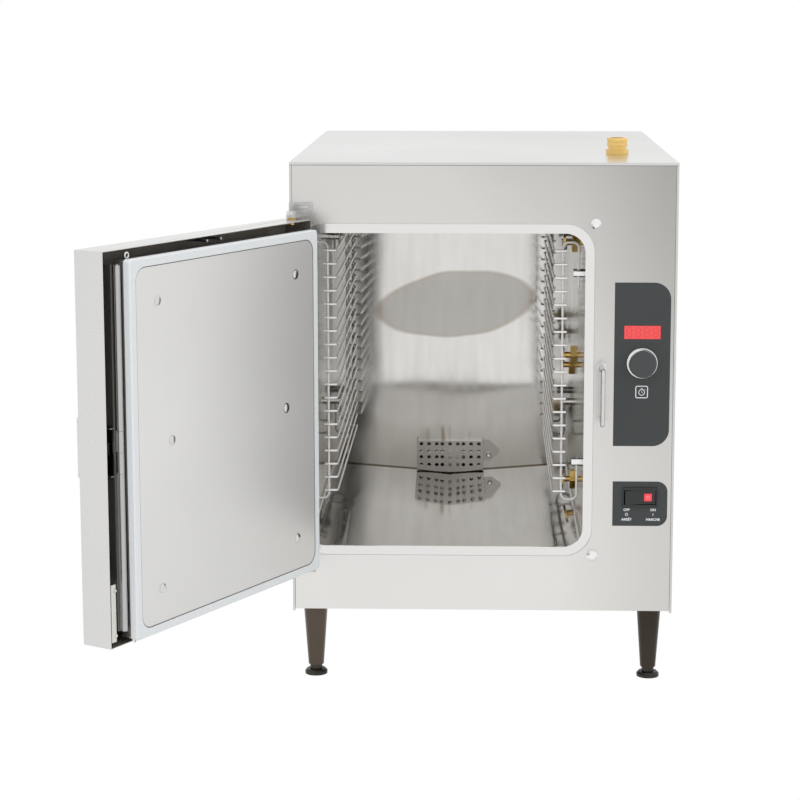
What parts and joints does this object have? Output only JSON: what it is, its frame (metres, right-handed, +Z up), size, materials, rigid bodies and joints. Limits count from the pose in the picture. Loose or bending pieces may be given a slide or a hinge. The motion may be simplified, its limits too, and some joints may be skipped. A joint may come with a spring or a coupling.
{
  "type": "combi steamer oven",
  "caption": "Countertop steam oven on adjustable legs, its side-hinged door open on a cavity with wire pan racks, a control panel with knob and display, and a rocker switch below it.",
  "frame": {"origin": "centre of the front left foot's sole, with the oven facing -Y", "axes": "+X runs right along the front, +Y towards the back and +Z up; the door stands open to the front left"},
  "size_m": [0.7822, 1.22, 0.782],
  "materials": {
    "satin_steel": "satin",
    "plain_steel": "satin",
    "cavity_steel": "polished",
    "bright_steel": "polished",
    "leg_steel": "satin",
    "brass": "polished",
    "lagging": "matte",
    "seal": "matte",
    "overlay": "matte",
    "display_red": "gloss",
    "black_plastic": "gloss",
    "dark_plastic": "matte",
    "white_plastic": "matte",
    "board_green": "matte",
    "core_iron": "matte"
  },
  "bodies": {
    "cabinet": {"base_pan": "plain_steel", "cable_gland": "black_plastic", "cavity_shell": "cavity_steel", "contactor": "dark_plastic", "control_board": "board_green", "control_overlay": "overlay", "display_window": "display_red", "dome_studs": "bright_steel", "door_strike": "bright_steel", "drain_pipe": "plain_steel", "drain_screen": "cavity_steel", "drain_screen_stud": "bright_steel", "encoder": "dark_plastic", "front_panel": "satin_steel", "heating_elements": "bright_steel", "hinge_pins": "bright_steel", "inlet_valve": "brass", "insulation": "lagging", "left_side_panel": "satin_steel", "legs": "leg_steel", "level_probe": "brass", "lower_hinge_bracket": "plain_steel", "rack_studs": "bright_steel", "rear_panel": "plain_steel", "right_side_panel": "satin_steel", "steam_generator": "plain_steel", "steam_jets": "brass", "steam_plenum": "plain_steel", "switch_bezel": "black_plastic", "switch_overlay": "overlay", "terminal_block": "dark_plastic", "top_panel": "satin_steel", "transformer": "core_iron", "upper_hinge_bracket": "plain_steel", "vent_fitting": "brass"},
    "door": {"door_pan": "satin_steel", "door_stiffener": "plain_steel", "hinge_bushings": "brass", "latch_case": "plain_steel", "handle_base": "plain_steel", "liner_hinge_post": "plain_steel", "float_posts": "plain_steel", "switch_plate": "white_plastic", "door_magnet": "dark_plastic"},
    "liner": {"gasket": "seal", "liner_plate": "cavity_steel", "liner_back": "cavity_steel", "liner_rivets": "bright_steel", "corner_clips": "bright_steel"},
    "latch_pawl": {"latch_pawl": "plain_steel"},
    "door_handle": {"door_handle": "plain_steel"},
    "knob": {"knob": "black_plastic"},
    "rocker": {"rocker": "black_plastic", "rocker_lamp": "display_red"},
    "left_rack": {"left_rack": "bright_steel"},
    "right_rack": {"right_rack": "bright_steel"},
    "foot_front_left": {"foot_front_left": "leg_steel"},
    "foot_front_right": {"foot_front_right": "leg_steel"},
    "foot_rear_left": {"foot_rear_left": "leg_steel"},
    "foot_rear_right": {"foot_rear_right": "leg_steel"}
  },
  "joints": [
    {"name": "door_hinge", "type": "hinge", "parent": "cabinet", "child": "door", "pos_m": [-0.0228, -0.0889, 0.4331], "axis": [0, 0, 1], "range_deg": [-55, 119.5]},
    {"name": "liner_float", "type": "hinge", "parent": "door", "child": "liner", "pos_m": [-0.2024, -0.47255, 0.4341], "axis": [0, 0, 1], "range_deg": [0, 1], "stiffness_Nm_per_rad": 40},
    {"name": "handle_pull", "type": "hinge", "parent": "door", "child": "door_handle", "pos_m": [-0.25518, -0.43688, 0.43], "axis": [0, 0, 1], "range_deg": [0, 12], "stiffness_Nm_per_rad": 3},
    {"name": "latch_pawl_turn", "type": "hinge", "parent": "door", "child": "latch_pawl", "pos_m": [-0.23729, -0.45562, 0.4335], "axis": [0, 0, 1], "range_deg": [0, 18]},
    {"name": "knob_turn", "type": "hinge", "parent": "cabinet", "child": "knob", "pos_m": [0.47085, -0.049, 0.4735], "axis": [0, -1, 0], "continuous": true},
    {"name": "rocker_press", "type": "hinge", "parent": "cabinet", "child": "rocker", "pos_m": [0.47085, -0.038, 0.2777], "axis": [0, 0, 1], "range_deg": [-14, 0]},
    {"name": "left_rack_lift", "type": "slide", "parent": "cabinet", "child": "left_rack", "axis": [0, 0, 1], "range_m": [0, 0.028]},
    {"name": "right_rack_lift", "type": "slide", "parent": "cabinet", "child": "right_rack", "axis": [0, 0, 1], "range_m": [0, 0.028]},
    {"name": "foot_front_left_level", "type": "slide", "parent": "cabinet", "child": "foot_front_left", "axis": [0, 0, -1], "range_m": [0, 0.018]},
    {"name": "foot_front_right_level", "type": "slide", "parent": "cabinet", "child": "foot_front_right", "axis": [0, 0, -1], "range_m": [0, 0.018]},
    {"name": "foot_rear_left_level", "type": "slide", "parent": "cabinet", "child": "foot_rear_left", "axis": [0, 0, -1], "range_m": [0, 0.018]},
    {"name": "foot_rear_right_level", "type": "slide", "parent": "cabinet", "child": "foot_rear_right", "axis": [0, 0, -1], "range_m": [0, 0.018]}
  ],
  "couplings": [
    {"joint": "latch_pawl_turn", "follows": "handle_pull", "ratio": 1.5}
  ]
}
